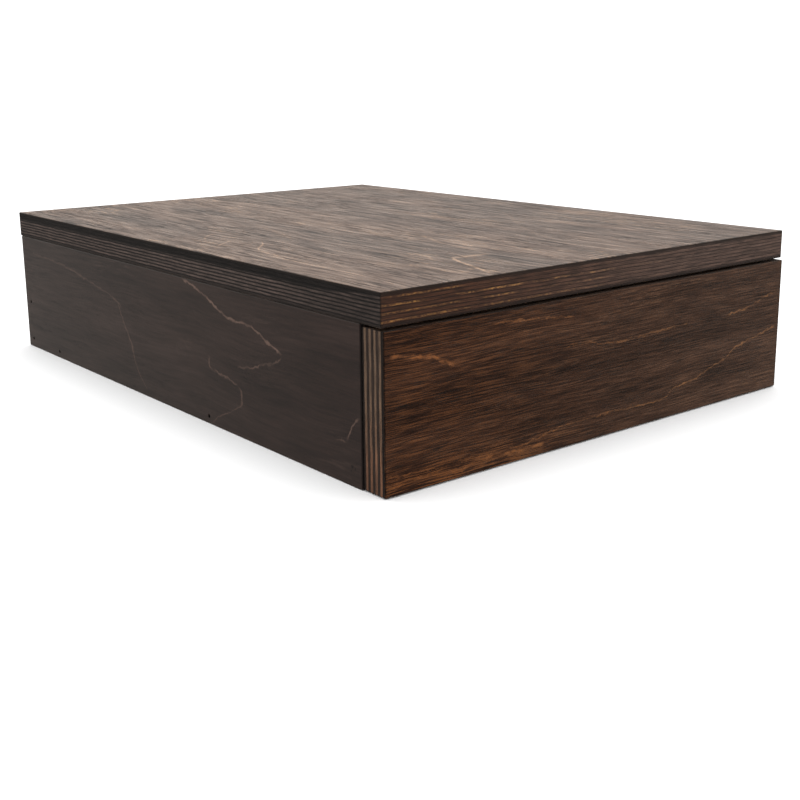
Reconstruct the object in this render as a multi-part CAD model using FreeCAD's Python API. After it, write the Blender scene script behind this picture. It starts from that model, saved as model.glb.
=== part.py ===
"""Low plywood box with a hidden drawer and a dark tray insert, in millimetres.

The drawer front faces -Y, +Z is up, and the origin is the centre of the footprint on the floor.
The case is five dark-stained plywood panels.  The drawer is a stack of plywood layers: a floor
board, a recessed strip that leaves a groove down each side, and a rail on top.  A short hardwood
runner on each case side fits that groove, carries the drawer and stops it before it comes out.
"""
import FreeCAD
import Part
import math
import os

V = FreeCAD.Vector

# Overall size of the closed box.
WIDTH = 222.0
DEPTH = 304.0
HEIGHT = 70.0

# Sheet stock.
BOARD = 12.0            # nine-ply board: case, drawer front, drawer floor and rails
THIN_BOARD = 6.5        # case floor and the drawer's groove strips
EDGE_ROUND = 0.45       # sanded edges of the big boards
FINE_ROUND = 0.35       # sanded edges of the small strips

# The drawer front stands a little proud of the top board and clears the floor and the top.
FRONT_PROUD = 1.0
FRONT_NARROWER = 0.4    # at each end
FRONT_FLOOR_GAP = 0.4
FRONT_TOP_GAP = 0.8
FRONT_SEAM = 0.25       # between the drawer front and the case sides' front ends
BACK_OVERHANG = 1.0     # top board beyond the case sides at the back
BOTTOM_SETBACK = 20.0   # case floor behind the case sides' front ends

# Drawer box.
DRAWER_SIDE_GAP = 0.9
DRAWER_LIFT = 0.5       # drawer floor above the case floor
DRAWER_BACK_GAP = 3.4
RAIL_WIDTH = 13.1
STRIP_WIDTH = 7.0

# Runners, and how far the drawer comes out before its groove ends.
TRAVEL = 190.0
STOP_GAP = 0.5
RUNNER_THICKNESS = 6.0
RUNNER_CLEARANCE = 0.3
RUNNER_SETBACK = 6.0

# Tray insert in the drawer.
INSERT_GAP = 0.8
INSERT_SHY = 0.1        # insert below the rails' top
INSERT_BASE = 3.0
RING_OUTER_R = 74.7
RING_INNER_R = 26.0
RING_FROM_FRONT = 88.0  # ring centre behind the drawer front's inner face
WELL_R = 10.0
WELL_X = 69.6
WELL_FROM_FRONT = 18.0
CHIP_DEPTH = 10.6
CHIP_GAP = 0.3

# Fasteners.
DOWEL_R = 3.0
DOWEL_LENGTH = 20.0
DOWEL_IN_PANEL = 12.0
FRONT_DOWEL_LENGTH = 24.0
FRONT_DOWEL_IN_FRONT = 8.0
BRAD_R = 0.6
BRAD_LENGTH = 24.0
BRAD_SET = 0.9
BRAD_PIT_R = 0.85
RUNNER_SCREW = {"radius": 1.25, "length": 14.0, "head_radius": 2.3, "head_depth": 1.4}
RAIL_SCREW = {"radius": 1.75, "length": 24.0, "head_radius": 3.3, "head_depth": 2.2}
CROSS_LENGTH = 0.62     # cross recess, as shares of the head's width and depth
CROSS_WIDTH = 0.16
CROSS_DEPTH = 0.55

# Levels and faces that follow from the sizes above.
half_w = WIDTH / 2
front_y = -DEPTH / 2
back_y = DEPTH / 2
top_z = HEIGHT - BOARD
inner_x = half_w - BOARD
front_inner_y = front_y + BOARD
side_front_y = front_inner_y + FRONT_SEAM
side_back_y = back_y - BACK_OVERHANG
case_back_inner_y = side_back_y - BOARD

drawer_x = inner_x - DRAWER_SIDE_GAP
drawer_back_y = case_back_inner_y - DRAWER_BACK_GAP
floor_z = THIN_BOARD + DRAWER_LIFT
strip_z = floor_z + BOARD
rail_z = strip_z + THIN_BOARD
rail_top_z = rail_z + BOARD
rail_inner_x = drawer_x - RAIL_WIDTH
rear_rail_y = drawer_back_y - RAIL_WIDTH
strip_outer_x = rail_inner_x + STRIP_WIDTH

insert_x = rail_inner_x - INSERT_GAP
insert_front_y = front_inner_y + 0.2
insert_back_y = rear_rail_y - INSERT_GAP
plate_z = strip_z + INSERT_BASE
insert_top_z = rail_top_z - INSERT_SHY
ring_y = front_inner_y + RING_FROM_FRONT
well_y = front_inner_y + WELL_FROM_FRONT


def save(node, shape):
    """Write one piece, or one group of like pieces, to its own file."""
    shape.exportStep("parts/" + node + ".step")
    print("%-24s solids %d  volume %.0f  valid %s" % (node, len(shape.Solids), shape.Volume, shape.isValid()))


def block(x0, x1, y0, y1, z0, z1, round_r=0.0):
    """A board between two corners, with every edge sanded to round_r."""
    shape = Part.makeBox(x1 - x0, y1 - y0, z1 - z0, V(x0, y0, z0))
    if round_r:
        shape = shape.makeFillet(round_r, shape.Edges)
    return shape


def rod(radius, length, start, direction):
    return Part.makeCylinder(radius, length, start, direction)


def mirrored(shape):
    """The same piece on the other side of the box."""
    return shape.mirror(V(0, 0, 0), V(1, 0, 0))


def wood_screw(spec, seat, direction):
    """A countersunk cross-recess screw whose flat head lies at seat and whose point lies along direction."""
    r = spec["radius"]
    head_r = spec["head_radius"]
    head_d = spec["head_depth"]
    tip = 2 * r
    head = Part.makeCone(head_r, r, head_d, V(0, 0, 0), V(0, 0, 1))
    shank = rod(r, spec["length"] - head_d - tip, V(0, 0, head_d), V(0, 0, 1))
    point = Part.makeCone(r, 0, tip, V(0, 0, spec["length"] - tip), V(0, 0, 1))
    screw = head.fuse([shank, point])
    long = 2 * head_r * CROSS_LENGTH
    wide = 2 * head_r * CROSS_WIDTH
    deep = head_d * CROSS_DEPTH
    for dx, dy in ((long, wide), (wide, long)):
        screw = screw.cut(Part.makeBox(dx, dy, deep, V(-dx / 2, -dy / 2, 0)))
    screw = screw.removeSplitter()
    screw.Placement = FreeCAD.Placement(seat, FreeCAD.Rotation(V(0, 0, 1), direction))
    return screw


def screw_hole(spec, seat, direction):
    """The countersunk hole that the same screw fills."""
    r = spec["radius"]
    head_d = spec["head_depth"]
    tip = 2 * r
    head = Part.makeCone(spec["head_radius"], r, head_d, V(0, 0, 0), V(0, 0, 1))
    shank = rod(r, spec["length"] - head_d - tip, V(0, 0, head_d), V(0, 0, 1))
    point = Part.makeCone(r, 0, tip, V(0, 0, spec["length"] - tip), V(0, 0, 1))
    hole = head.fuse([shank, point])
    hole.Placement = FreeCAD.Placement(seat, FreeCAD.Rotation(V(0, 0, 1), direction))
    return hole


def case_dowels():
    """Hidden dowels between the top board and the panels under it."""
    side_x = half_w - BOARD / 2
    spots = [(sx * side_x, y) for sx in (-1, 1) for y in (-110, 0, 110)]
    spots += [(sx * WIDTH / 4, side_back_y - BOARD / 2) for sx in (-1, 1)]
    return [rod(DOWEL_R, DOWEL_LENGTH, V(x, y, top_z - DOWEL_IN_PANEL), V(0, 0, 1)) for x, y in spots]


def front_dowels():
    """Dowels that tie the drawer front to the drawer floor and to the two side rails."""
    spots = [(x, floor_z + BOARD / 2) for x in (-75, -28, 28, 75)]
    spots += [(sx * (rail_inner_x + RAIL_WIDTH / 2), rail_z + BOARD / 2) for sx in (-1, 1)]
    start_y = front_inner_y - FRONT_DOWEL_IN_FRONT
    return [rod(DOWEL_R, FRONT_DOWEL_LENGTH, V(x, start_y, z), V(0, 1, 0)) for x, z in spots]


def brad_spots():
    """Distance along Y and height of the brads through each case side."""
    bottom_mid = THIN_BOARD / 2
    back_mid = side_back_y - BOARD / 2
    return [(front_y + 115, bottom_mid), (front_y + 264, bottom_mid), (back_mid, 4.5), (back_mid, 24.0)]


def left_brads():
    start_x = -half_w + BRAD_SET
    return [rod(BRAD_R, BRAD_LENGTH, V(start_x, y, z), V(1, 0, 0)) for y, z in brad_spots()]


def left_brad_pits():
    """The small pits that the set brads leave in the face of the left side."""
    return [rod(BRAD_PIT_R, BRAD_SET, V(-half_w, y, z), V(1, 0, 0)) for y, z in brad_spots()]


def left_runner_seats():
    x = -inner_x + RUNNER_THICKNESS
    z = (strip_z + rail_z) / 2
    front = side_front_y + RUNNER_SETBACK
    rear = rear_rail_y - TRAVEL - STOP_GAP
    inset = 14
    return [V(x, front + inset, z), V(x, rear - inset, z)]


def rail_screw_seats():
    side_x = rail_inner_x + STRIP_WIDTH / 2
    seats = [V(sx * side_x, y, floor_z) for sx in (-1, 1) for y in (-105, -5, 95)]
    seats += [V(sx * rail_inner_x / 2, rear_rail_y + RAIL_WIDTH / 2, floor_z) for sx in (-1, 1)]
    return seats


def make_case():
    dowels = case_dowels()
    brads = left_brads()
    pits = left_brad_pits()
    screws = [wood_screw(RUNNER_SCREW, seat, V(-1, 0, 0)) for seat in left_runner_seats()]
    screw_holes = [screw_hole(RUNNER_SCREW, seat, V(-1, 0, 0)) for seat in left_runner_seats()]

    top = block(-half_w, half_w, front_y + FRONT_PROUD, back_y, top_z, HEIGHT, EDGE_ROUND)
    save("case_top", top.cut(dowels))

    side = block(-half_w, -inner_x, side_front_y, side_back_y, 0, top_z, EDGE_ROUND)
    side = side.cut(dowels + brads + pits + screw_holes)
    save("case_left_side", side)
    save("case_right_side", mirrored(side))

    right_brads = [mirrored(b) for b in brads]
    back = block(-inner_x, inner_x, case_back_inner_y, side_back_y, 0, top_z, EDGE_ROUND)
    save("case_back", back.cut(dowels + brads + right_brads))

    floor_front = side_front_y + BOTTOM_SETBACK
    bottom = block(-inner_x, inner_x, floor_front, case_back_inner_y, 0, THIN_BOARD, FINE_ROUND)
    save("case_bottom", bottom.cut(brads + right_brads))

    runner = block(-inner_x, -inner_x + RUNNER_THICKNESS,
                   side_front_y + RUNNER_SETBACK, rear_rail_y - TRAVEL - STOP_GAP,
                   strip_z + RUNNER_CLEARANCE, rail_z - RUNNER_CLEARANCE, FINE_ROUND)
    runner = runner.cut(screw_holes)
    save("left_runner", runner)
    save("right_runner", mirrored(runner))

    save("case_dowels", Part.makeCompound(dowels))
    save("left_side_brads", Part.makeCompound(brads))
    save("right_side_brads", Part.makeCompound(right_brads))
    save("runner_screws", Part.makeCompound(screws + [mirrored(s) for s in screws]))


def make_drawer():
    dowels = front_dowels()
    screws = [wood_screw(RAIL_SCREW, seat, V(0, 0, 1)) for seat in rail_screw_seats()]
    screw_holes = [screw_hole(RAIL_SCREW, seat, V(0, 0, 1)) for seat in rail_screw_seats()]

    front_x = half_w - FRONT_NARROWER
    front = block(-front_x, front_x, front_y, front_inner_y,
                  FRONT_FLOOR_GAP, top_z - FRONT_TOP_GAP, EDGE_ROUND)
    save("drawer_front", front.cut(dowels))

    floor = block(-drawer_x, drawer_x, front_inner_y, drawer_back_y, floor_z, strip_z, FINE_ROUND)
    save("drawer_floor", floor.cut(dowels + screw_holes))

    strip = block(-strip_outer_x, -rail_inner_x, front_inner_y, rear_rail_y, strip_z, rail_z)
    strip = strip.cut(screw_holes)
    save("left_groove_strip", strip)
    save("right_groove_strip", mirrored(strip))
    rear_strip = block(-drawer_x, drawer_x, rear_rail_y, drawer_back_y, strip_z, rail_z, FINE_ROUND)
    save("rear_stop_strip", rear_strip.cut(screw_holes))

    rail = block(-drawer_x, -rail_inner_x, front_inner_y, drawer_back_y, rail_z, rail_top_z, FINE_ROUND)
    rail = rail.cut(dowels + screw_holes)
    save("left_drawer_rail", rail)
    save("right_drawer_rail", mirrored(rail))
    rear_rail = block(-rail_inner_x, rail_inner_x, rear_rail_y, drawer_back_y, rail_z, rail_top_z, FINE_ROUND)
    save("rear_drawer_rail", rear_rail.cut(screw_holes))

    save("drawer_front_dowels", Part.makeCompound(dowels))
    save("drawer_rail_screws", Part.makeCompound(screws))


def make_insert():
    """The dark tray insert: a base sheet, a plate with a round cut-out and a well, and the centre disc."""
    up = V(0, 0, 1)
    plate_depth = insert_top_z - plate_z
    base = block(-insert_x, insert_x, insert_front_y, insert_back_y, strip_z, plate_z)
    save("insert_base", base)

    plate = block(-insert_x, insert_x, insert_front_y, insert_back_y, plate_z, insert_top_z, FINE_ROUND)
    plate = plate.cut(rod(RING_OUTER_R, plate_depth, V(0, ring_y, plate_z), up))
    plate = plate.cut(rod(WELL_R, plate_depth, V(WELL_X, well_y, plate_z), up))
    save("insert_plate", plate)

    disc = rod(RING_INNER_R, plate_depth, V(0, ring_y, plate_z), up)
    disc = disc.makeFillet(FINE_ROUND, [e for e in disc.Edges if abs(e.Length - math.tau * RING_INNER_R) < 0.01])
    save("insert_centre_disc", disc)

    fill = rod(RING_OUTER_R - CHIP_GAP, CHIP_DEPTH, V(0, ring_y, plate_z), up)
    save("green_chips", fill.cut(rod(RING_INNER_R + CHIP_GAP, CHIP_DEPTH, V(0, ring_y, plate_z), up)))


os.makedirs("parts", exist_ok=True)
make_case()
make_drawer()
make_insert()
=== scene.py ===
import bpy
import math
import random
from mathutils import Matrix, Vector


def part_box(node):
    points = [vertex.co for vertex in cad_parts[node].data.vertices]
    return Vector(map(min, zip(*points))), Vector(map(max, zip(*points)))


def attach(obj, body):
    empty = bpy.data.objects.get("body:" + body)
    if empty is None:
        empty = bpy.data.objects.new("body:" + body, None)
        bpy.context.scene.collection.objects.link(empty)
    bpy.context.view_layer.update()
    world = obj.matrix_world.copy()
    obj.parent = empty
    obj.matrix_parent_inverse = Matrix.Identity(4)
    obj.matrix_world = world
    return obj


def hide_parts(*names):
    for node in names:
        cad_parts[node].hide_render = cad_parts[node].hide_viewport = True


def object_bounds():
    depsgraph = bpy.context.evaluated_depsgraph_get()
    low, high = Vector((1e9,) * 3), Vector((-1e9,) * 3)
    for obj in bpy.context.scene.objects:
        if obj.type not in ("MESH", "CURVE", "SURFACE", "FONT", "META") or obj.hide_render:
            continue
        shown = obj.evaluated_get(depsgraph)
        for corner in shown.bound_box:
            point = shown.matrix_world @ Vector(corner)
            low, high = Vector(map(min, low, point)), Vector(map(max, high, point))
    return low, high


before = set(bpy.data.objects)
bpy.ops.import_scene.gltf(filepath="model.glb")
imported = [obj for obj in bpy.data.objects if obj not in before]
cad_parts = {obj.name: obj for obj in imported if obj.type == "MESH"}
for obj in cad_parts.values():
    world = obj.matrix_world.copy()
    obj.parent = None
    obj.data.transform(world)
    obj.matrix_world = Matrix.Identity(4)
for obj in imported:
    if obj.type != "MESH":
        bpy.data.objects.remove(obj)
cad_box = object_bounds()
bpy.ops.object.select_all(action="DESELECT")


# ---------------------------------------------------------------------------------------------
# Side panels.  Two boards of nine-ply birch, 12 mm thick, stained nearly black-brown and given
# a satin lacquer.  Their grain runs front to back, and rotary-cut figure wanders over them.
# They are sawn square, sanded round at the arrises and pinned into the floor and back panels.
# ---------------------------------------------------------------------------------------------

mm = 0.001
AXES = {"X": 0, "Y": 1, "Z": 2}
PLIES = 9


def group_tree(name, inputs, outputs):
    """An empty shader group with named sockets, whose kind follows from their size."""
    tree = bpy.data.node_groups.new(name, "ShaderNodeTree")
    kinds = {1: "NodeSocketFloat", 3: "NodeSocketVector", 4: "NodeSocketColor"}
    for label, default in inputs:
        size = len(default) if hasattr(default, "__len__") else 1
        socket = tree.interface.new_socket(label, in_out="INPUT", socket_type=kinds[size])
        socket.default_value = default
    for label, size in outputs:
        tree.interface.new_socket(label, in_out="OUTPUT", socket_type=kinds[size])
    return tree, tree.nodes.new("NodeGroupInput"), tree.nodes.new("NodeGroupOutput")


def put(tree, kind, feeds=None, **settings):
    """Adds a node, sets its properties, and gives its inputs values or links."""
    node = tree.nodes.new(kind)
    for key, value in settings.items():
        setattr(node, key, value)
    for key, value in (feeds or {}).items():
        socket = node.inputs[key]
        if isinstance(value, bpy.types.NodeSocket):
            tree.links.new(value, socket)
        else:
            socket.default_value = value
    return node


def calc(tree, operation, a, b=0.0, c=0.0):
    """One Math node, returned as its output."""
    return put(tree, "ShaderNodeMath", {0: a, 1: b, 2: c}, operation=operation).outputs[0]


def vector_calc(tree, operation, a, b):
    """One Vector Math node, returned as its vector."""
    return put(tree, "ShaderNodeVectorMath", {0: a, 1: b}, operation=operation).outputs[0]


def remap(tree, value, low, high, to_low=0.0, to_high=1.0, smooth=True):
    """value from low..high to to_low..to_high, clamped."""
    kind = "SMOOTHSTEP" if smooth else "LINEAR"
    feeds = {"Value": value, "From Min": low, "From Max": high, "To Min": to_low, "To Max": to_high}
    return put(tree, "ShaderNodeMapRange", feeds, interpolation_type=kind).outputs["Result"]


def blend_value(tree, factor, a, b):
    """Number a to number b by factor."""
    return put(tree, "ShaderNodeMix", {0: factor, 2: a, 3: b}, data_type="FLOAT").outputs[0]


def blend_colour(tree, factor, a, b, mode="MIX"):
    """Colour a to colour b by factor."""
    node = put(tree, "ShaderNodeMix", {0: factor, 6: a, 7: b}, data_type="RGBA", blend_type=mode)
    return node.outputs[2]


def noise(tree, vector, scale, detail=3.0, rough=0.55, distort=0.0):
    """One Noise texture, returned as its value."""
    feeds = {"Vector": vector, "Scale": scale, "Detail": detail, "Roughness": rough,
             "Distortion": distort}
    return put(tree, "ShaderNodeTexNoise", feeds).outputs["Fac"]


def stretched(tree, vector, x, y, z):
    """A vector scaled per axis."""
    return vector_calc(tree, "MULTIPLY", vector, (x, y, z))


def make_veneer_group():
    """Rotary-cut birch face.  Vector runs x along the grain, y across it, z through the board.

    Sway is how far the grain wanders and Coarse how broad its lines are.  Streaks are the grain
    lines, Cloud the slow change of tone, Pores short dark dashes, Wisps the pale curls where the
    knife crossed a growth ring, and Height the open grain.
    """
    tree, given, out = group_tree(
        "birch_veneer",
        [("Vector", (0.0, 0.0, 0.0)), ("Seed", (0.0, 0.0, 0.0)), ("Sway", 0.004),
         ("Coarse", 0.4)],
        [("Streaks", 1), ("Cloud", 1), ("Pores", 1), ("Wisps", 1), ("Height", 1)],
    )
    moved = vector_calc(tree, "ADD", given.outputs["Vector"], given.outputs["Seed"])
    sway = noise(tree, stretched(tree, moved, 14, 26, 14), 1.0, 2.0, 0.5)
    sway = calc(tree, "MULTIPLY", calc(tree, "MULTIPLY_ADD", sway, 2.0, -1.0), given.outputs["Sway"])
    push = put(tree, "ShaderNodeCombineXYZ", {"Y": sway}).outputs[0]
    bent = vector_calc(tree, "ADD", moved, push)
    wide = noise(tree, stretched(tree, bent, 28, 420, 300), 1.0, 2.0, 0.6)
    thin = noise(tree, stretched(tree, bent, 55, 1150, 600), 1.0, 3.0, 0.7)
    mixed = blend_value(tree, given.outputs["Coarse"], thin, wide)
    streaks = remap(tree, mixed, 0.35, 0.65, smooth=False)
    cloud = noise(tree, stretched(tree, bent, 9, 44, 20), 1.0, 3.0, 0.55, 0.5)
    cloud = remap(tree, cloud, 0.3, 0.7)
    pore_field = noise(tree, stretched(tree, bent, 130, 1100, 700), 1.0, 2.0, 0.6)
    pore_zone = noise(tree, stretched(tree, bent, 26, 80, 30), 1.0, 2.0)
    pore_zone = remap(tree, pore_zone, 0.40, 0.62)
    pores = calc(tree, "MULTIPLY", remap(tree, pore_field, 0.55, 0.64), pore_zone)
    wisp_field = noise(tree, stretched(tree, bent, 20, 85, 30), 1.0, 4.0, 0.6, 0.6)
    ridge = calc(tree, "ABSOLUTE", calc(tree, "SUBTRACT", wisp_field, 0.5))
    wisp_zone = noise(tree, stretched(tree, moved, 15, 28, 10), 1.0, 2.0)
    wisp_zone = remap(tree, wisp_zone, 0.48, 0.66)
    wisps = calc(tree, "MULTIPLY", remap(tree, ridge, 0.0, 0.03, 1.0, 0.0), wisp_zone)
    wisps = calc(tree, "MULTIPLY", wisps, remap(tree, thin, 0.42, 0.6, 0.0, 1.0))
    height = calc(tree, "MULTIPLY_ADD", pores, -0.9, streaks)
    height = calc(tree, "MULTIPLY_ADD", wisps, 0.5, height)
    for label, value in (("Streaks", streaks), ("Cloud", cloud), ("Pores", pores),
                         ("Wisps", wisps), ("Height", height)):
        tree.links.new(value, out.inputs[label])
    return tree


PLY_WOBBLE = 0.35 * mm


def make_ply_group():
    """The sawn edge of plywood.  End Facing is 1 where the edge cuts across the face grain.

    Light is 1 along a pale ply and 0 on a dark one; Every makes all plies pale where the edge
    runs along the grain, Fill is how wide a pale line is, in plies, and Dash breaks it.
    Glue is the dark line between plies, Sawn is 1 on the edge and 0 on the faces, Grain is the
    streaks or pits, and Skin is 1 on the two face veneers.
    """
    tree, given, out = group_tree(
        "birch_ply_edge",
        [("Vector", (0.0, 0.0, 0.0)), ("Depth", 0.0), ("Thickness", 12 * mm), ("Plies", 9.0),
         ("End Facing", 0.0), ("Every", 0.0), ("Fill", 0.6), ("Dash", 0.3)],
        [("Light", 1), ("Glue", 1), ("Sawn", 1), ("Grain", 1), ("Skin", 1)],
    )
    vector = given.outputs["Vector"]
    depth = given.outputs["Depth"]
    thick = given.outputs["Thickness"]
    wobble = noise(tree, vector, 60.0, 3.0, 0.6)
    wobble = calc(tree, "MULTIPLY_ADD", wobble, 2 * PLY_WOBBLE, -PLY_WOBBLE)
    wavy = calc(tree, "ADD", depth, wobble)
    place = calc(tree, "MULTIPLY", calc(tree, "DIVIDE", wavy, thick), given.outputs["Plies"])
    part = calc(tree, "FRACT", place)
    from_line = calc(tree, "MINIMUM", part, calc(tree, "SUBTRACT", 1.0, part))
    glue = remap(tree, from_line, 0.03, 0.14, 1.0, 0.0)
    end = given.outputs["End Facing"]
    cross = calc(tree, "SUBTRACT", 1.0, end)
    pair = calc(tree, "MULTIPLY_ADD", place, 0.5, calc(tree, "MULTIPLY", cross, 0.5))
    pair = calc(tree, "FRACT", pair)
    off = calc(tree, "ABSOLUTE", calc(tree, "SUBTRACT", pair, 0.75))
    off_pair = calc(tree, "MINIMUM", off, calc(tree, "SUBTRACT", 1.0, off))
    off_pair = calc(tree, "MULTIPLY", off_pair, 2.0)
    off_each = calc(tree, "ABSOLUTE", calc(tree, "SUBTRACT", part, 0.5))
    all_plies = calc(tree, "MULTIPLY", cross, given.outputs["Every"])
    off = blend_value(tree, all_plies, off_pair, off_each)
    rim = calc(tree, "SUBTRACT", off, calc(tree, "MULTIPLY", given.outputs["Fill"], 0.5))
    light = remap(tree, rim, -0.1, 0.1, 1.0, 0.0)
    hidden = calc(tree, "SUBTRACT", 1.0, calc(tree, "MULTIPLY", light, 0.8))
    glue = calc(tree, "MULTIPLY", glue, hidden)
    broken = noise(tree, stretched(tree, vector, 700, 700, 1500), 1.0, 4.0, 0.7)
    broken = remap(tree, broken, 0.40, 0.60)
    broken = blend_value(tree, given.outputs["Dash"], 1.0, broken)
    light = calc(tree, "MULTIPLY", light, broken)
    along = noise(tree, stretched(tree, vector, 110, 1300, 1900), 1.0, 3.0, 0.7)
    across = noise(tree, stretched(tree, vector, 1300, 110, 1900), 1.0, 3.0, 0.7)
    grain = blend_value(tree, end, along, across)
    near_face = calc(tree, "MINIMUM", depth, calc(tree, "SUBTRACT", thick, depth))
    sawn = remap(tree, near_face, 0.1 * mm, 0.3 * mm)
    plies_in = calc(tree, "MULTIPLY", near_face, given.outputs["Plies"])
    skin = remap(tree, calc(tree, "DIVIDE", plies_in, thick), 0.7, 1.0, 1.0, 0.0)
    for label, value in (("Light", light), ("Glue", glue), ("Sawn", sawn), ("Skin", skin)):
        tree.links.new(value, out.inputs[label])
    tree.links.new(remap(tree, grain, 0.34, 0.66, smooth=False), out.inputs["Grain"])
    return tree


def make_arris_group():
    """Arris is 1 on an arris of the board between Low and High and 0 beyond Reach.  Patchy is the
    same, worn through in places.  The boards darken their arrises by these masks, partly stain and
    partly painted shade in the seams between boards."""
    tree, given, out = group_tree(
        "arris_stain_and_shade_masks",
        [("Vector", (0.0, 0.0, 0.0)), ("Low", (0.0, 0.0, 0.0)), ("High", (0.0, 0.0, 0.0)),
         ("Reach", 1 * mm)],
        [("Arris", 1), ("Patchy", 1)],
    )
    vector = given.outputs["Vector"]
    up = vector_calc(tree, "SUBTRACT", vector, given.outputs["Low"])
    down = vector_calc(tree, "SUBTRACT", given.outputs["High"], vector)
    near = vector_calc(tree, "MINIMUM", up, down)
    each = put(tree, "ShaderNodeSeparateXYZ", {0: near}).outputs
    small = calc(tree, "MINIMUM", each[0], each[1])
    large = calc(tree, "MAXIMUM", each[0], each[1])
    second = calc(tree, "MAXIMUM", small, calc(tree, "MINIMUM", large, each[2]))
    arris = remap(tree, calc(tree, "DIVIDE", second, given.outputs["Reach"]), 0.0, 1.0, 1.0, 0.0)
    worn = remap(tree, noise(tree, vector, 130.0, 3.0, 0.6), 0.38, 0.62)
    tree.links.new(arris, out.inputs["Arris"])
    tree.links.new(calc(tree, "MULTIPLY", arris, worn), out.inputs["Patchy"])
    return tree


VENEER = make_veneer_group()
PLY_EDGE = make_ply_group()
ARRIS = make_arris_group()


def use_group(tree, group, feeds):
    """One of the groups above, returned as its outputs."""
    return put(tree, "ShaderNodeGroup", feeds, node_tree=group).outputs


def empty_material(name):
    """A new material with no nodes yet, and its tree."""
    mat = bpy.data.materials.new(name)
    mat.use_nodes = True
    mat.node_tree.nodes.clear()
    return mat, mat.node_tree


ARRIS_WIDTH = 0.5 * mm
GRAIN_DEPTH = 0.06 * mm
SAWN_ROUGHNESS = 0.72


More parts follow.
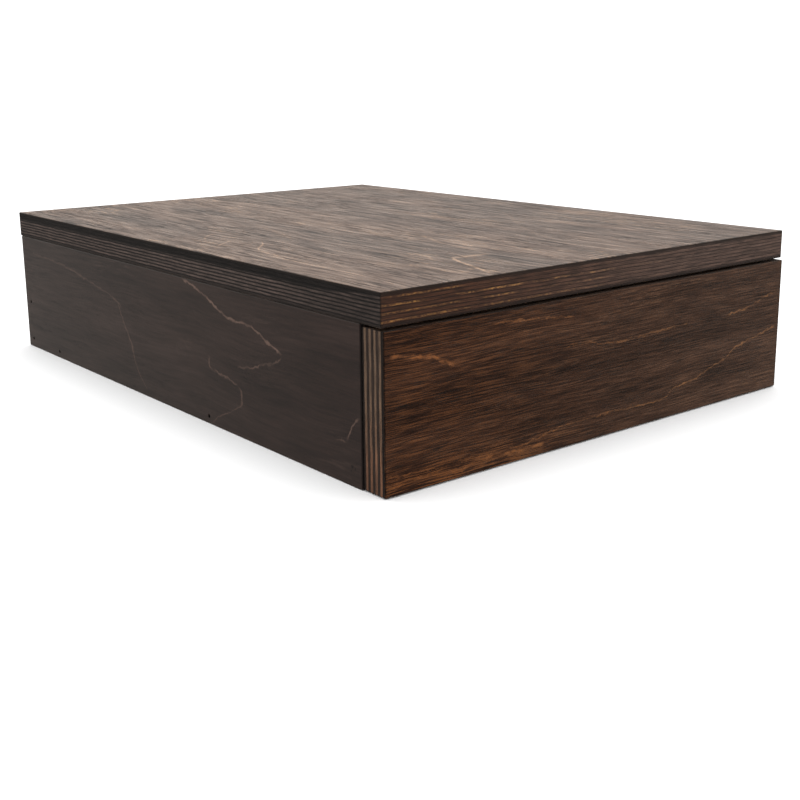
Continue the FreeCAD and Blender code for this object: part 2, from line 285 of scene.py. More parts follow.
def stained_board(name, low, high, grain, through, seed, tones, plies=PLIES, contrast=0.8,
                  wisp=0.4, sway=0.004, coarse=0.4, pores=0.6, fineness=1.0, figure=None,
                  wash=None, edge=None, every=0.0, fill=0.6, dash=0.3, smooth=(0.36, 0.5),
                  gloss=0.4, relief=1.0):
    """Material for one stained plywood board that lies between low and high.

    grain and through are the axes of the face grain and of the thickness.  tones holds the
    face's colours deep, dark, mid, light, pale and curl, and the edge's base, band and glue.
    contrast, wisp and pores are the strengths of the streaks, curls and pores, and fineness
    above 1 makes the grain finer.  every, fill and dash are the edge group's; fill and dash may
    be pairs, for edges along the grain and across it.  smooth is the roughness of the palest
    and darkest streaks, gloss the specular level and relief the height of the open grain.

    figure, if given, adds the board's own figure lines: it takes the tree, the coordinates and
    the face's masks, and returns a mask and a colour.  wash, if given, takes the tree and the
    coordinates, and returns a colour that the face is multiplied by.  edge, if given, takes the
    tree, the coordinates and End Facing, and returns the edge's base and band colours.
    """
    mat, tree = empty_material(name)
    place = put(tree, "ShaderNodeTexCoord")
    xyz = put(tree, "ShaderNodeSeparateXYZ", {0: place.outputs["Object"]}).outputs
    facing = put(tree, "ShaderNodeSeparateXYZ", {0: place.outputs["Normal"]}).outputs
    across = next(a for a in "XYZ" if a not in (grain, through))
    local = put(tree, "ShaderNodeCombineXYZ",
                {"X": xyz[AXES[grain]], "Y": xyz[AXES[across]], "Z": xyz[AXES[through]]}).outputs[0]
    depth = calc(tree, "SUBTRACT", xyz[AXES[through]], low[AXES[through]])
    end = remap(tree, calc(tree, "ABSOLUTE", facing[AXES[grain]]), 0.35, 0.75)
    scaled = stretched(tree, local, 1.0, fineness, fineness)
    face = use_group(tree, VENEER, {"Vector": scaled, "Seed": seed, "Sway": sway, "Coarse": coarse})
    if isinstance(fill, tuple):
        fill = remap(tree, end, 0.0, 1.0, fill[0], fill[1])
        dash = remap(tree, end, 0.0, 1.0, dash[0], dash[1])
    sawn = use_group(tree, PLY_EDGE, {
        "Vector": local, "Depth": depth, "End Facing": end, "Plies": float(plies), "Every": every,
        "Fill": fill, "Dash": dash, "Thickness": high[AXES[through]] - low[AXES[through]]})
    arris = use_group(tree, ARRIS, {
        "Vector": place.outputs["Object"], "Low": tuple(low), "High": tuple(high),
        "Reach": ARRIS_WIDTH})

    tone = calc(tree, "MULTIPLY_ADD", calc(tree, "SUBTRACT", face["Streaks"], 0.5), contrast, 0.45)
    tone = calc(tree, "MULTIPLY_ADD", calc(tree, "SUBTRACT", face["Cloud"], 0.5), 0.28, tone)
    ramp = put(tree, "ShaderNodeValToRGB", {0: tone})
    stops = {0.0: "deep", 0.22: "dark", 0.5: "mid", 0.78: "light", 1.0: "pale"}
    for spot in list(stops)[1:-1]:
        ramp.color_ramp.elements.new(spot)
    for element, (spot, tint) in zip(ramp.color_ramp.elements, stops.items()):
        element.position = spot
        element.color = tones[tint]
    veneer = ramp.outputs[0]
    veneer = blend_colour(tree, calc(tree, "MULTIPLY", face["Pores"], pores), veneer, tones["deep"])
    veneer = blend_colour(tree, calc(tree, "MULTIPLY", face["Wisps"], wisp), veneer, tones["curl"])
    if figure:
        mask, colour = figure(tree, xyz, face)
        veneer = blend_colour(tree, mask, veneer, colour)
    if wash:
        veneer = blend_colour(tree, 1.0, veneer, wash(tree, xyz), "MULTIPLY")

    base, band = edge(tree, xyz, end) if edge else (tones["base"], tones["band"])
    wood = blend_colour(tree, sawn["Light"], base, band)
    grainy = remap(tree, sawn["Grain"], 0.0, 1.0, 0.55, 1.45, smooth=False)
    grainy = put(tree, "ShaderNodeCombineColor", {0: grainy, 1: grainy, 2: grainy}).outputs[0]
    wood = blend_colour(tree, 1.0, wood, grainy, "MULTIPLY")
    wood = blend_colour(tree, calc(tree, "MULTIPLY", sawn["Skin"], 0.75), wood, tones["deep"])
    wood = blend_colour(tree, calc(tree, "MULTIPLY", sawn["Glue"], 0.7), wood, tones["glue"])

    colour = blend_colour(tree, sawn["Sawn"], veneer, wood)
    # Painted shade: the arrises are darkened towards the glue colour, partly stain taken darker on
    # the sanded arris and partly painted shade in the seams between boards.
    arris_stain_and_shade = calc(tree, "MULTIPLY", arris["Arris"], 0.6)
    arris_stain_and_shade = calc(tree, "MULTIPLY_ADD", arris["Patchy"], 0.3, arris_stain_and_shade)
    colour = blend_colour(tree, arris_stain_and_shade, colour, tones["glue"])

    ridges = calc(tree, "ADD", sawn["Light"], sawn["Grain"])
    ridges = calc(tree, "MULTIPLY_ADD", sawn["Glue"], -1.5, ridges)
    open_grain = calc(tree, "MULTIPLY", face["Height"], relief)
    height = blend_value(tree, sawn["Sawn"], open_grain, ridges)
    bump = put(tree, "ShaderNodeBump", {"Strength": 1.0, "Distance": GRAIN_DEPTH, "Height": height})
    polish, rough = smooth
    dull = calc(tree, "MULTIPLY", face["Pores"], 0.4 * pores)
    roughness = remap(tree, face["Streaks"], 0.1, 0.8, rough, polish, smooth=False)
    roughness = calc(tree, "ADD", dull, roughness)
    roughness = blend_value(tree, sawn["Sawn"], roughness, SAWN_ROUGHNESS)
    shader = put(tree, "ShaderNodeBsdfPrincipled", {
        "Base Color": colour, "Roughness": roughness, "Normal": bump.outputs[0],
        "Specular IOR Level": gloss, "IOR": 1.5})
    put(tree, "ShaderNodeOutputMaterial", {"Surface": shader.outputs[0]})
    return mat


FIGURE_WOBBLE = 1.8 * mm


def figure_line(tree, run, side, points, width, broken=0.5, seed=0.0):
    """Mask of one thin figure line, 1 on its middle.

    run and side are the sockets of two of the coordinates, in metres, and points are places
    (run, side) in millimetres.  width is in millimetres too, and broken is how far the gaps
    along the line fade it.
    """
    points = sorted(points)
    runs = [p[0] * mm for p in points]
    sides = [p[1] * mm for p in points]
    low, high = min(sides) - 1 * mm, max(sides) + 1 * mm
    share = remap(tree, run, runs[0], runs[-1], smooth=False)
    node = put(tree, "ShaderNodeFloatCurve", {"Factor": 1.0, "Value": share})
    curve = node.mapping.curves[0]
    spots = [((r - runs[0]) / (runs[-1] - runs[0]), (s - low) / (high - low))
             for r, s in zip(runs, sides)]
    curve.points[0].location = spots[0]
    curve.points[-1].location = spots[-1]
    for spot in spots[1:-1]:
        curve.points.new(*spot)
    node.mapping.update()
    middle = calc(tree, "MULTIPLY_ADD", node.outputs[0], high - low, low)
    spot = put(tree, "ShaderNodeCombineXYZ", {"X": run, "Y": side, "Z": seed}).outputs[0]
    jitter = noise(tree, spot, 240.0, 3.0, 0.7)
    jitter = calc(tree, "MULTIPLY_ADD", jitter, 2 * FIGURE_WOBBLE, -FIGURE_WOBBLE)
    away = calc(tree, "ABSOLUTE", calc(tree, "SUBTRACT", calc(tree, "ADD", side, jitter), middle))
    line = remap(tree, away, 0.15 * width * mm, width * mm, 1.0, 0.0)
    ends = calc(tree, "MULTIPLY", remap(tree, run, runs[0] - 1 * mm, runs[0] + 2 * mm),
                remap(tree, run, runs[-1] - 2 * mm, runs[-1] + 1 * mm, 1.0, 0.0))
    gaps = remap(tree, noise(tree, spot, 150.0, 2.0, 0.6), 0.36, 0.6, 1.0 - broken, 1.0)
    return calc(tree, "MULTIPLY", calc(tree, "MULTIPLY", line, ends), gaps)


def rgb(r, g, b):
    """A colour given as the eye sees it, 0 to 255, in the shader's linear values."""
    def linear(v):
        v = v / 255
        return v / 12.92 if v <= 0.04045 else ((v + 0.055) / 1.055) ** 2.4
    return (linear(r), linear(g), linear(b), 1.0)


def dress(node, material):
    """Gives a carried-over CAD piece its finish."""
    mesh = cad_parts[node].data
    mesh.materials.clear()
    mesh.materials.append(material)


def side_figure(tree, xyz, face):
    """Pale rings that wander over the side panels: places along and up the side, in mm."""
    y, z = xyz[1], xyz[2]
    by_length = (
        ([(-92, 38.5), (-85, 41), (-77, 44), (-70, 46.2), (-56, 46.5), (-48, 49), (-34, 54),
          (-20, 57.5)], 0.75, 0.9),
        ([(-92, 37.5), (-88, 35), (-80, 32.7), (-71, 30), (-61, 28)], 0.6, 0.6),
        ([(38, 37.5), (53, 41.7), (73, 44.7), (97, 48.2), (138, 50)], 0.55, 0.45),
        ([(-60, 21), (-52, 22.5), (-43, 23.2)], 0.55, 0.55),
        ([(-131, 15.6), (-125, 14.8)], 0.5, 0.5),
    )
    by_height = (
        ([(3, 17), (13, 26.7), (22, 30), (29, 35.6), (38.4, 41)], 0.6, 0.6),
        ([(23, -43), (25, -39.4), (28.5, -39)], 0.7, 0.7),
        ([(0.5, -39), (6, -47.3), (9.4, -55.8), (14.3, -63), (17.6, -63.3), (21, -60)],
         0.75, 0.6),
        ([(15.8, -131), (18, -132.3), (21, -134.2), (25.4, -138.2)], 0.6, 0.7),
    )
    total = 0.0
    for number, (run, side, rows) in enumerate(((y, z, by_length), (z, y, by_height))):
        for row, (points, width, strength) in enumerate(rows):
            line = figure_line(tree, run, side, points, width, 0.55, number + 0.37 * row)
            total = calc(tree, "MAXIMUM", total, calc(tree, "MULTIPLY", line, strength))
    return calc(tree, "MULTIPLY", total, 0.68), rgb(112, 88, 76)


def side_pits(tree, xyz):
    """Three small dark pits near the front end of the left side."""
    total = 0.0
    for y, z, size in ((-134.2, 7.2, 0.9), (-136.0, 6.8, 0.6), (-133.6, 5.6, 0.5)):
        near = put(tree, "ShaderNodeCombineXYZ", {"Y": xyz[1], "Z": xyz[2]}).outputs[0]
        gap = put(tree, "ShaderNodeVectorMath", {0: near, 1: (0.0, y * mm, z * mm)},
                  operation="DISTANCE").outputs["Value"]
        pit = remap(tree, gap, 0.4 * size * mm, size * mm, 1.0, 0.0)
        total = calc(tree, "MAXIMUM", total, pit)
    return blend_colour(tree, total, (1.0, 1.0, 1.0, 1.0), (0.25, 0.22, 0.2, 1.0))


def right_side_figure(tree, xyz, face):
    """The same veneer turned end for end."""
    return side_figure(tree, (xyz[0], calc(tree, "MULTIPLY", xyz[1], -1.0), xyz[2]), face)


side_tones = {
    "deep": rgb(22, 16, 14), "dark": rgb(35, 25, 22), "mid": rgb(44, 32, 28),
    "light": rgb(53, 40, 36), "pale": rgb(70, 55, 49), "curl": rgb(90, 72, 64),
    "base": rgb(34, 25, 21), "band": rgb(74, 60, 51), "glue": rgb(30, 23, 20)}
for side, seed, rings, pits in (("case_left_side", (0.3, 0.1, 0.0), side_figure, side_pits),
                                ("case_right_side", (1.7, 0.6, 0.2), right_side_figure, None)):
    low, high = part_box(side)
    dress(side, stained_board(
        side + "_stain", low, high, "Y", "X", seed, side_tones, contrast=0.4, wisp=0.15,
        pores=0.12, smooth=(0.30, 0.36), relief=0.25, figure=rings, wash=pits))


# ---------------------------------------------------------------------------------------------
# Side brads.  Headless steel pins, two through each side into the floor panel and two into the
# back, punched just below the surface.  The stain has turned them almost black.
# ---------------------------------------------------------------------------------------------

def plated_steel(name, bright, dull, rough):
    """Steel with fine cloudy tarnish between two tints.  rough is its lowest roughness."""
    mat, tree = empty_material(name)
    place = put(tree, "ShaderNodeTexCoord").outputs["Object"]
    cloud = remap(tree, noise(tree, place, 420.0, 4.0, 0.65), 0.35, 0.65)
    scratch = noise(tree, stretched(tree, place, 300, 300, 4200), 1.0, 2.0, 0.6)
    roughness = calc(tree, "MULTIPLY_ADD", cloud, 0.15, rough)
    bump = put(tree, "ShaderNodeBump", {"Strength": 0.4, "Distance": 0.02 * mm, "Height": scratch})
    shader = put(tree, "ShaderNodeBsdfPrincipled", {
        "Base Color": blend_colour(tree, cloud, bright, dull), "Metallic": 1.0,
        "Roughness": roughness, "Normal": bump.outputs[0]})
    put(tree, "ShaderNodeOutputMaterial", {"Surface": shader.outputs[0]})
    return mat


blackened = plated_steel("blackened_brad_steel", rgb(60, 54, 50), rgb(28, 24, 22), 0.4)
dress("left_side_brads", blackened)
dress("right_side_brads", blackened)


# ---------------------------------------------------------------------------------------------
# Runners and their screws.  Short strips of stained, waxed beech, one screwed to the inner face
# of each side with two zinc-plated countersunk screws.  They slide in the drawer's grooves.
# ---------------------------------------------------------------------------------------------

drawer_tones = {
    "deep": rgb(28, 18, 14), "dark": rgb(46, 31, 24), "mid": rgb(66, 46, 36),
    "light": rgb(88, 64, 50), "pale": rgb(118, 90, 70), "curl": rgb(130, 100, 78),
    "base": rgb(44, 30, 23), "band": rgb(126, 102, 82), "glue": rgb(18, 12, 10)}
for node in ("left_runner", "right_runner"):
    low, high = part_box(node)
    dress(node, stained_board(
        node + "_stain", low, high, "Y", "X", (0.0, 0.4, 0.0), drawer_tones, plies=1))
zinc = plated_steel("zinc_screw_steel", rgb(176, 174, 168), rgb(132, 128, 120), 0.25)
dress("runner_screws", zinc)


# ---------------------------------------------------------------------------------------------
# Back and floor panels.  The back is the same nine-ply, held between the sides.  The floor is a
# thin five-ply sheet between the sides, set back from the front and pinned along its edges.
# ---------------------------------------------------------------------------------------------

THIN_PLIES = 5
low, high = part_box("case_back")
dress("case_back", stained_board(
    "case_back_stain", low, high, "X", "Y", (0.9, 0.2, 0.4), side_tones, contrast=0.5, wisp=0.5,
    smooth=(0.30, 0.4)))
low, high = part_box("case_bottom")
dress("case_bottom", stained_board(
    "case_bottom_stain", low, high, "Y", "Z", (2.2, 0.7, 0.1), drawer_tones, plies=THIN_PLIES))


# ---------------------------------------------------------------------------------------------
# Top board.  One nine-ply board laid over the sides and back and glued on dowels, flush with
# the sides and 1 mm past the back.  Its face has an open, brushed-looking grain; its edges are
# stained and left matt.
# ---------------------------------------------------------------------------------------------

def top_figure(tree, xyz, face):
    """Pale curls on the top board, in mm: rows run along the board and hooks across it."""
    x, y = xyz[0], xyz[1]
    rows = (
        ([(-147, -59.5), (-135, -55.3), (-126, -52.4), (-113.6, -47.7)], 1.2, 0.8),
        ([(-112, -29.5), (-97.5, -26.5), (-81, -23.8), (-61.5, -17), (-34, -11)], 1.2, 0.3),
        ([(-115, 15.5), (-98, 20.5), (-73, 32), (-32, 61), (8, 86.5)], 1.2, 0.12),
        ([(-33, -65.5), (-12, -57), (7, -52), (18, -50)], 1.2, 0.18),
        ([(-100, -95), (-74.5, -95.5), (-62, -93.3), (-47.5, -90.8)], 0.9, 0.5),
    )
    hooks = (
        ([(-91.5, -48.5), (-88, -42), (-80, -33), (-77, -27)], 1.0, 0.6),
        ([(-98, -27), (-91, -20), (-84, -15)], 0.9, 0.35),
        ([(-92, -7), (-86, 3), (-78, 9)], 0.9, 0.4),
        ([(-48, -113.6), (-39.6, -113.6), (-30, -114.8)], 2.2, 0.5),
    )
    total = 0.0
    for row, (points, width, strength) in enumerate(rows):
        line = figure_line(tree, y, x, points, width, 0.8, 0.5 * row)
        total = calc(tree, "MAXIMUM", total, calc(tree, "MULTIPLY", line, strength))
    for row, (points, width, strength) in enumerate(hooks):
        line = figure_line(tree, x, y, points, width, 0.6, 3.1 + 0.7 * row)
        total = calc(tree, "MAXIMUM", total, calc(tree, "MULTIPLY", line, strength))
    total = calc(tree, "MULTIPLY", total, remap(tree, face["Streaks"], 0.2, 0.6, 0.35, 1.0))
    return total, rgb(198, 160, 128)


def top_edge(tree, xyz, end):
    """The front edge is orange-brown, with gold lines that die away to the right.  The side edges
    are grey-brown; their upper third is darker, partly stain and partly painted shade under the
    arris, and their pale plies are painted lighter towards the back end as a painted sheen."""
    right = remap(tree, xyz[0], -100 * mm, 60 * mm)
    front_base = blend_colour(tree, right, rgb(64, 32, 9), rgb(76, 56, 46))
    front_band = blend_colour(tree, right, rgb(150, 104, 44), rgb(88, 68, 58))
    # Painted shade: the band under the upper arris is darker, partly stain as well.
    corner = remap(tree, xyz[1], -151 * mm, -118 * mm, 2.6 * mm, 0.0)
    upper_stain_and_shade = remap(tree, calc(tree, "SUBTRACT", xyz[2], corner), 65.9 * mm, 66.8 * mm)
    spot = put(tree, "ShaderNodeCombineXYZ",
               {"X": xyz[0], "Z": calc(tree, "MULTIPLY", xyz[2], 4.0)}).outputs[0]
    patchy = remap(tree, noise(tree, spot, 60.0, 3.0, 0.6), 0.40, 0.60)
    from_third = calc(tree, "ABSOLUTE", calc(tree, "SUBTRACT", xyz[2], 65.3 * mm))
    patchy = calc(tree, "MULTIPLY", patchy, remap(tree, from_third, 0.8 * mm, 1.6 * mm, 1.0, 0.55))
    front_band = blend_colour(tree, patchy, front_base, front_band)
    side_base = blend_colour(tree, upper_stain_and_shade, rgb(28, 19, 15), rgb(20, 12, 9))
    # Painted sheen: the pale plies of the side edges get lighter towards the back end.
    near = remap(tree, xyz[1], -151 * mm, -60 * mm, 0.6, 0.0)
    side_band = blend_colour(tree, near, rgb(76, 61, 54), rgb(44, 32, 26))
    side_band = blend_colour(tree, upper_stain_and_shade, side_band, rgb(28, 19, 15))
    base = blend_colour(tree, end, side_base, front_base)
    band = blend_colour(tree, end, side_band, front_band)
    return base, band


top_tones = {
    "deep": rgb(28, 17, 10), "dark": rgb(58, 39, 28), "mid": rgb(86, 62, 48),
    "light": rgb(112, 86, 69), "pale": rgb(154, 123, 99), "curl": rgb(186, 150, 118),
    "glue": rgb(16, 11, 8)}
low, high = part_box("case_top")
dress("case_top", stained_board(
    "case_top_stain", low, high, "Y", "Z", (0.5, 0.9, 0.3), top_tones, contrast=0.95, wisp=0.6,
    sway=0.0045, coarse=0.45, fineness=1.1, smooth=(0.26, 0.54), relief=3.0, figure=top_figure,
    edge=top_edge, every=1.0, fill=(0.58, 0.4), dash=(0.3, 0.95)))


# ---------------------------------------------------------------------------------------------
# Case dowels.  Eight 6 mm beech dowels, glued upright through the joint between the top board
# and the sides and back.  They are hidden once the box is together.
# ---------------------------------------------------------------------------------------------

def raw_beech(name, grain):
    """Unstained beech, with the grain along one axis."""
    mat, tree = empty_material(name)
    place = put(tree, "ShaderNodeTexCoord").outputs["Object"]
    xyz = put(tree, "ShaderNodeSeparateXYZ", {0: place}).outputs
    other = [a for a in "XYZ" if a != grain]
    local = put(tree, "ShaderNodeCombineXYZ",
                {"X": xyz[AXES[grain]], "Y": xyz[AXES[other[0]]],
                 "Z": xyz[AXES[other[1]]]}).outputs[0]
    face = use_group(tree, VENEER, {
        "Vector": local, "Seed": (0.4, 0.4, 0.4), "Sway": 1 * mm, "Coarse": 0.2})
    wood = blend_colour(tree, face["Streaks"], rgb(188, 150, 112), rgb(216, 184, 148))
    wood = blend_colour(tree, calc(tree, "MULTIPLY", face["Pores"], 0.6), wood, rgb(140, 98, 66))
    bump = put(tree, "ShaderNodeBump",
               {"Strength": 0.6, "Distance": 0.04 * mm, "Height": face["Height"]})
    roughness = remap(tree, face["Streaks"], 0.0, 1.0, 0.7, 0.55)
    shader = put(tree, "ShaderNodeBsdfPrincipled", {
        "Base Color": wood, "Roughness": roughness, "Normal": bump.outputs[0]})
    put(tree, "ShaderNodeOutputMaterial", {"Surface": shader.outputs[0]})
    return mat


dress("case_dowels", raw_beech("beech_dowel_upright", "Z"))


# ---------------------------------------------------------------------------------------------
# Drawer front and its dowels.  A nine-ply board that makes the whole front of the box, with no
# handle, glued on six dowels to the drawer's floor and rails.  Its grain runs side to side.
# ---------------------------------------------------------------------------------------------

def front_figure(tree, xyz, face):
    """Orange-brown streaks on the drawer front: places across and up the board, in mm.  The
    left end and the lower left corner are also warmer between the streaks."""
    x, z = xyz[0], xyz[2]
    rows = (
        ([(-108, 48.3), (-98, 47.1), (-90, 45.5), (-84, 43), (-77, 40.5)], 1.1, 0.8),
        ([(-62, 53), (-49, 52.6), (-38, 51.5), (-22, 50.2)], 0.6, 0.6),
        ([(-110, 7.6), (-85, 6.5), (-67, 6.3), (-47, 6.1), (-28, 8.7), (-6, 9.2), (13, 8.9),
          (30, 8.6), (39, 11.8), (53, 14), (63, 16.9), (72, 19), (82, 23.5), (93, 25.4),
          (108, 28.4)], 0.6, 0.6),
        ([(-110, 3.7), (-95, 4.3), (-80, 3.5), (-65, 4.7), (-50, 4.1), (-36, 4.2)], 1.1, 0.8),
        ([(-26, 38.9), (-15, 38.9), (0, 36.9), (27, 37.4), (46, 38.1)], 0.6, 0.35),
        ([(73, 37.8), (88, 39.3), (100, 42.6), (110, 43.8)], 0.6, 0.45),
    )
    total = 0.0
    for row, (points, width, strength) in enumerate(rows):
        line = figure_line(tree, x, z, points, width, 0.7, 0.5 * row)
        total = calc(tree, "MAXIMUM", total, calc(tree, "MULTIPLY", line, strength))
    low_left = calc(tree, "MULTIPLY", remap(tree, z, 3 * mm, 13 * mm, 1.0, 0.0),
                    remap(tree, x, -70 * mm, 0.0, 1.0, 0.0))
    left = calc(tree, "MULTIPLY", remap(tree, x, -105 * mm, 0.0, 1.0, 0.0), 0.2)
    warm = calc(tree, "MAXIMUM", left, calc(tree, "MULTIPLY", low_left, 0.6))
    warm = calc(tree, "MULTIPLY", warm, remap(tree, face["Streaks"], 0.45, 0.8))
    total = calc(tree, "MAXIMUM", total, warm)
    fine = remap(tree, face["Streaks"], 0.15, 0.55, 0.2, 1.0)
    return calc(tree, "MULTIPLY", total, fine), rgb(140, 92, 52)


def front_edge(tree, xyz, end):
    """The pale plies are olive at the top and warmer towards the bottom."""
    uneven = calc(tree, "MULTIPLY_ADD", noise(tree, xyz[2], 90.0, 3.0), 0.6, -0.3)
    down = remap(tree, xyz[2], 6 * mm, 40 * mm, 0.8, 0.0, smooth=False)
    down = remap(tree, calc(tree, "ADD", down, uneven), 0.1, 0.8)
    return rgb(46, 32, 24), blend_colour(tree, down, rgb(90, 69, 52), rgb(102, 68, 47))


def front_stain_and_sheen(tree, xyz):
    """Redder and darker stain at the left end; the right end is painted lighter and greyer, a
    painted sheen.
    """
    right = remap(tree, xyz[0], -105 * mm, 70 * mm)
    # Real stain at the left end, painted sheen at the right end.
    return blend_colour(tree, right, (0.82, 0.69, 0.57, 1.0), (1.12, 1.2, 1.3, 1.0))


front_tones = {
    "deep": rgb(18, 8, 3), "dark": rgb(37, 20, 10), "mid": rgb(58, 36, 23),
    "light": rgb(80, 54, 38), "pale": rgb(104, 74, 54), "curl": rgb(128, 88, 56),
    "glue": rgb(14, 9, 7)}
outer_skin = 0.35 * mm  # the outer veneer is this much thicker than the other plies
low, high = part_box("drawer_front")
low = (low[0], low[1] + outer_skin, low[2])
dress("drawer_front", stained_board(
    "drawer_front_stain", low, high, "X", "Y", (0.2, 1.3, 0.6), front_tones, contrast=0.55,
    wisp=0.25, sway=0.003, coarse=0.05, pores=0.4, fineness=1.7, smooth=(0.26, 0.36), gloss=0.3,
    figure=front_figure, wash=front_stain_and_sheen, edge=front_edge, fill=1.0, dash=0.12))
dress("drawer_front_dowels", raw_beech("beech_dowel_level", "Y"))


# ---------------------------------------------------------------------------------------------
# Drawer floor, groove strips, rails and their screws.  Strips of stained plywood in layers on
# the floor board leave a groove down each side for the runners.  Eight screws come up through
# them from below.
# ---------------------------------------------------------------------------------------------

for node, grain, plies in (
        ("drawer_floor", "Y", PLIES), ("left_groove_strip", "Y", THIN_PLIES),
        ("right_groove_strip", "Y", THIN_PLIES), ("rear_stop_strip", "X", THIN_PLIES),
        ("left_drawer_rail", "Y", PLIES), ("right_drawer_rail", "Y", PLIES),
        ("rear_drawer_rail", "X", PLIES)):
    low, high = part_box(node)
    dress(node, stained_board(
        node + "_stain", low, high, grain, "Z", (0.1, 0.3, 0.8), drawer_tones, plies=plies))
dress("drawer_rail_screws", zinc)


# ---------------------------------------------------------------------------------------------
# Tray insert.  Three pieces of satin black sheet that lie loose between the rails: a thin base,
# a thick plate cut with the round recess and the corner well, and the disc left in the middle.
# ---------------------------------------------------------------------------------------------

def satin_black(name):
    """Black sheet with a fine grained skin, pale specks painted in as glints, and a few rubbed,
    paler patches.
    """
    mat, tree = empty_material(name)
    place = put(tree, "ShaderNodeTexCoord").outputs["Object"]
    fine = noise(tree, place, 2600.0, 3.0, 0.7)
    speckle_glint = noise(tree, stretched(tree, place, 1200, 500, 1200), 1.0, 3.0, 0.8)
    speckle_glint = remap(tree, speckle_glint, 0.52, 0.68)
    rubbed = remap(tree, noise(tree, place, 38.0, 4.0, 0.6), 0.4, 0.7)
    colour = blend_colour(tree, rubbed, rgb(20, 19, 20), rgb(30, 28, 28))
    # Painted glints: pale specks mixed into the colour.
    colour = blend_colour(tree, calc(tree, "MULTIPLY", speckle_glint, 0.5), colour, rgb(92, 88, 88))
    roughness = calc(tree, "MULTIPLY_ADD", fine, 0.16, 0.30)
    roughness = calc(tree, "MULTIPLY_ADD", rubbed, 0.12, roughness)
    bump = put(tree, "ShaderNodeBump", {"Strength": 1.0, "Distance": GRAIN_DEPTH, "Height": fine})
    shader = put(tree, "ShaderNodeBsdfPrincipled", {
        "Base Color": colour, "Roughness": roughness, "Normal": bump.outputs[0],
        "Specular IOR Level": 0.5})
    put(tree, "ShaderNodeOutputMaterial", {"Surface": shader.outputs[0]})
    return mat


black_sheet = satin_black("satin_black_sheet")
for node in ("insert_base", "insert_plate", "insert_centre_disc"):
    dress(node, black_sheet)


# ---------------------------------------------------------------------------------------------
# Green chips.  Loose chopped chips of bright green plastic foam, 2 to 3 mm across, poured into
# the ring recess and heaped a little towards the disc.
# ---------------------------------------------------------------------------------------------

chips_low, chips_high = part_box("green_chips")
disc_low, disc_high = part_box("insert_centre_disc")
ring_centre = Vector(((disc_low[0] + disc_high[0]) / 2, (disc_low[1] + disc_high[1]) / 2, 0))
ring_inner = (disc_high[0] - disc_low[0]) / 2 + 0.4 * mm
ring_outer = (chips_high[0] - chips_low[0]) / 2
bed_top = chips_high[2] - 1.4 * mm
bed_rise = 2.6 * mm
bed_depth = 8.6 * mm
lump_size = 4 * mm
lump_height = 2.2 * mm


def heap(radius):
    """Height of the chips' bed at this distance from the ring's centre."""
    share = (ring_outer - radius) / (ring_outer - ring_inner)
    return bed_top + bed_rise * share


bpy.ops.mesh.primitive_circle_add(vertices=128, radius=ring_inner,
                                  location=(*ring_centre[:2], bed_top), fill_type="NOTHING")
bed = bpy.context.object
bed.name = "green_chip_fill"
bpy.ops.object.mode_set(mode="EDIT")
bpy.ops.mesh.select_all(action="SELECT")
bpy.ops.transform.translate(value=(0, 0, heap(ring_inner) - bed_top))
rings = 20
for ring in range(1, rings + 1):
    before = ring_inner + (ring_outer - ring_inner) * (ring - 1) / rings
    after = ring_inner + (ring_outer - ring_inner) * ring / rings
    rise = heap(after) - heap(before)
    bpy.ops.mesh.extrude_edges_move(TRANSFORM_OT_translate={"value": (0, 0, rise)})
    growth = after / before
    bpy.ops.transform.resize(value=(growth, growth, 1), center_override=ring_centre)
bpy.ops.mesh.select_all(action="SELECT")
bpy.ops.mesh.normals_make_consistent(inside=False)
bpy.ops.object.mode_set(mode="OBJECT")
lumps = bpy.data.textures.new("chip_lumps", "CLOUDS")
lumps.noise_scale = lump_size
lumps.noise_depth = 2
bumpy = bed.modifiers.new("lumps", "DISPLACE")
bumpy.texture = lumps
bumpy.texture_coords = "LOCAL"
bumpy.direction = "Z"
bumpy.strength = lump_height
bumpy.mid_level = 0.6
thick = bed.modifiers.new("depth", "SOLIDIFY")
thick.thickness = bed_depth
thick.offset = -1
bpy.ops.object.modifier_apply(modifier="lumps")
bpy.ops.object.modifier_apply(modifier="depth")
bpy.ops.object.transform_apply(location=True, rotation=True, scale=True)

shape_count = 6
chip_shapes = []
for number in range(shape_count):
    bpy.ops.mesh.primitive_cube_add(size=1.0)
    chip = bpy.context.object
    bpy.ops.object.mode_set(mode="EDIT")
    bpy.ops.mesh.select_all(action="SELECT")
    bpy.ops.transform.vertex_random(offset=0.38, uniform=0.5, seed=number + 3)
    bpy.ops.mesh.quads_convert_to_tris(quad_method="BEAUTY")
    bpy.ops.object.mode_set(mode="OBJECT")
    chip_shapes.append(chip)

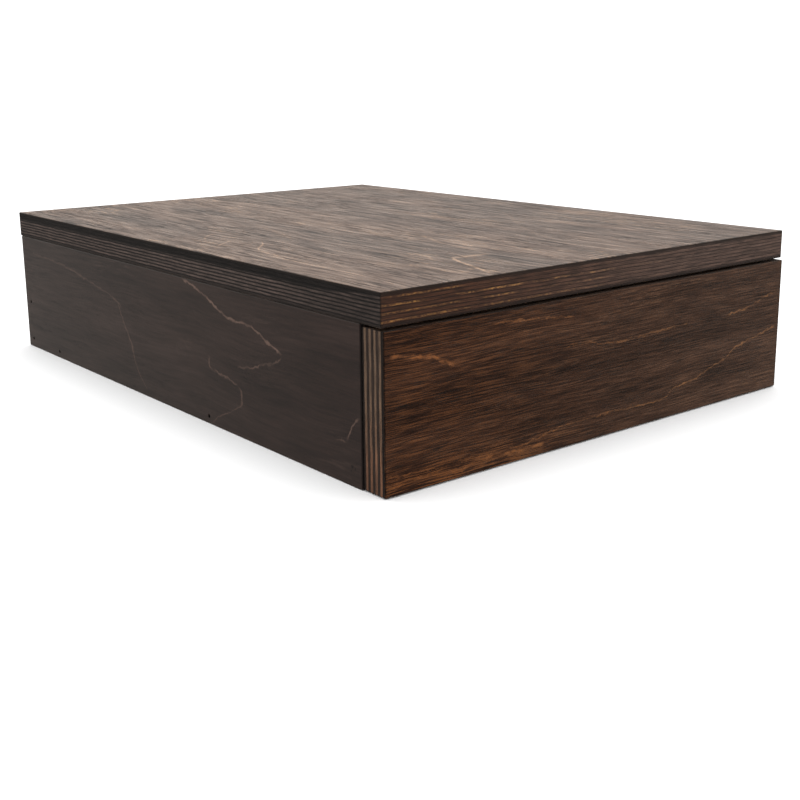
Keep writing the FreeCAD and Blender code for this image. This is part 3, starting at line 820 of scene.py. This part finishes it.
pick = random.Random(7)
step = 1.85 * mm
from_wall = 1.9 * mm
full_turn = 6.3
steepest = 0.9
reach = int(ring_outer / step) + 1
chips = []
for column in range(-reach, reach + 1):
    for row in range(-reach, reach + 1):
        across = (column + pick.uniform(-0.5, 0.5)) * step
        along = (row + pick.uniform(-0.5, 0.5)) * step
        spot = Vector((across, along, 0))
        radius = spot.length
        if not ring_inner + from_wall < radius < ring_outer - from_wall:
            continue
        size = (pick.uniform(1.9, 3.2), pick.uniform(1.5, 2.4), pick.uniform(1.0, 1.9))
        size = Vector(size) * mm
        turn = Matrix.Rotation(pick.uniform(0, full_turn), 4, "Z")
        turn = turn @ Matrix.Rotation(pick.uniform(-steepest, steepest), 4, "X")
        turn = turn @ Matrix.Rotation(pick.uniform(-steepest, steepest), 4, "Y")
        height = heap(radius) + pick.uniform(-0.9, 1.6) * mm
        mesh = pick.choice(chip_shapes).data.copy()
        place = Matrix.Translation(ring_centre + spot + Vector((0, 0, height)))
        mesh.transform(place @ turn @ Matrix.Diagonal((*size, 1)))
        copy = bpy.data.objects.new("chip", mesh)
        bpy.context.collection.objects.link(copy)
        chips.append(copy)
bpy.ops.object.select_all(action="DESELECT")
for shape in chip_shapes:
    bpy.data.objects.remove(shape)
for chip in chips:
    chip.select_set(True)
bed.select_set(True)
bpy.context.view_layer.objects.active = bed
bpy.ops.object.join()
bpy.ops.object.select_all(action="DESELECT")

chip_mat, tree = empty_material("bright_green_chip")
place = put(tree, "ShaderNodeTexCoord").outputs["Object"]
cells = put(tree, "ShaderNodeTexVoronoi", {"Vector": place, "Scale": 420.0}).outputs["Color"]
tint = put(tree, "ShaderNodeSeparateColor", {0: cells}).outputs[0]
up = put(tree, "ShaderNodeSeparateXYZ", {0: place}).outputs[2]
# Painted shade: chips low in the bed, down in the crevices, are darker green.
crevice_shade = remap(tree, up, bed_top - 0.2 * mm, bed_top + 3.2 * mm, 1.0, 0.0)
grit_and_glint = remap(tree, noise(tree, place, 1300.0, 3.0, 0.7), 0.35, 0.65)
# Painted highlights: the pale yellow-green specks, and partly the lighter cells, are highlights
# painted into the colour; the cells also differ in tone at random, and the specks also roughen and
# bump the surface.
colour = blend_colour(tree, tint, rgb(50, 150, 8), rgb(128, 218, 48))
colour = blend_colour(tree, calc(tree, "MULTIPLY", grit_and_glint, 0.25), colour, rgb(170, 244, 100))
colour = blend_colour(tree, calc(tree, "MULTIPLY", crevice_shade, 0.7), colour, rgb(20, 96, 4))
roughness = calc(tree, "MULTIPLY_ADD", grit_and_glint, -0.2, 0.6)
bump = put(tree, "ShaderNodeBump", {"Strength": 0.7, "Distance": 0.12 * mm, "Height": grit_and_glint})
shader = put(tree, "ShaderNodeBsdfPrincipled", {
    "Base Color": colour, "Roughness": roughness, "Normal": bump.outputs[0]})
put(tree, "ShaderNodeOutputMaterial", {"Surface": shader.outputs[0]})
bed.data.materials.clear()
bed.data.materials.append(chip_mat)
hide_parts("green_chips")
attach(bed, "drawer")


# ---------------------------------------------------------------------------------------------
# Studio.  A wide pale floor, soft light from all round, a large softbox overhead, and the
# camera low at the front left.  In reflections the studio is dark in front of the box and
# bright behind it, and brighter above the horizon than below.
# ---------------------------------------------------------------------------------------------

bpy.ops.mesh.primitive_plane_add(size=40, location=(0, 0, 0))
floor = bpy.context.object
floor.name = "studio_floor"
floor_paint = bpy.data.materials.new("studio_floor_paint")
floor_paint.use_nodes = True
paint = floor_paint.node_tree.nodes["Principled BSDF"].inputs
paint["Base Color"].default_value = (0.97, 0.97, 0.97, 1)
paint["Roughness"].default_value = 0.9
paint["Specular IOR Level"].default_value = 0.1
floor.data.materials.append(floor_paint)
floor.visible_glossy = False

world = bpy.data.worlds.new("studio")
bpy.context.scene.world = world
world.use_nodes = True
sky = world.node_tree
sky.nodes.clear()
bright_side = (0.66, 0.75, 0.0)
flat_light = 1.25
look = put(sky, "ShaderNodeTexCoord").outputs["Generated"]
height = put(sky, "ShaderNodeSeparateXYZ", {0: look}).outputs[2]
behind = put(sky, "ShaderNodeVectorMath", {0: look, 1: bright_side},
             operation="DOT_PRODUCT").outputs["Value"]
below = remap(sky, behind, -0.15, 0.5, 0.03, 0.40, smooth=False)
above = remap(sky, behind, -0.15, 0.5, 0.06, 0.82, smooth=False)
lift = remap(sky, height, -0.06, 0.06)
shine = blend_value(sky, lift, below, above)
glossy = put(sky, "ShaderNodeLightPath").outputs["Is Glossy Ray"]
strength = blend_value(sky, glossy, flat_light, shine)
tint = blend_colour(sky, glossy, (1.0, 1.0, 1.0, 1.0), (1.0, 0.95, 0.89, 1.0))
glow = put(sky, "ShaderNodeBackground", {"Color": tint, "Strength": strength})
put(sky, "ShaderNodeOutputWorld", {"Surface": glow.outputs[0]})

softbox = bpy.data.lights.new("overhead", "AREA")
softbox.size = 1.6
softbox.energy = 14
lamp = bpy.data.objects.new("overhead", softbox)
bpy.context.scene.collection.objects.link(lamp)
lamp.location = (0.2, 0.2, 1.6)
lamp.rotation_euler = (-lamp.location).to_track_quat("-Z", "Y").to_euler()

camera_data = bpy.data.cameras.new("camera")
camera = bpy.data.objects.new("camera", camera_data)
bpy.context.scene.collection.objects.link(camera)
bpy.context.scene.camera = camera
box_width = cad_box[1][0] - cad_box[0][0]
place_in_widths = Vector((-1.507, -1.9765, 0.6197))
looks_along = Vector((0.6112, 0.7600, -0.2209))
roll = math.radians(-0.53)
camera.location = place_in_widths * box_width
aim = looks_along.to_track_quat("-Z", "Y").to_matrix().to_4x4()
camera.rotation_euler = (aim @ Matrix.Rotation(roll, 4, "Z")).to_euler()
camera_data.sensor_width = 36
camera_data.lens = 52.38
camera_data.shift_y = -0.0775
bpy.context.scene.view_settings.view_transform = "Standard"
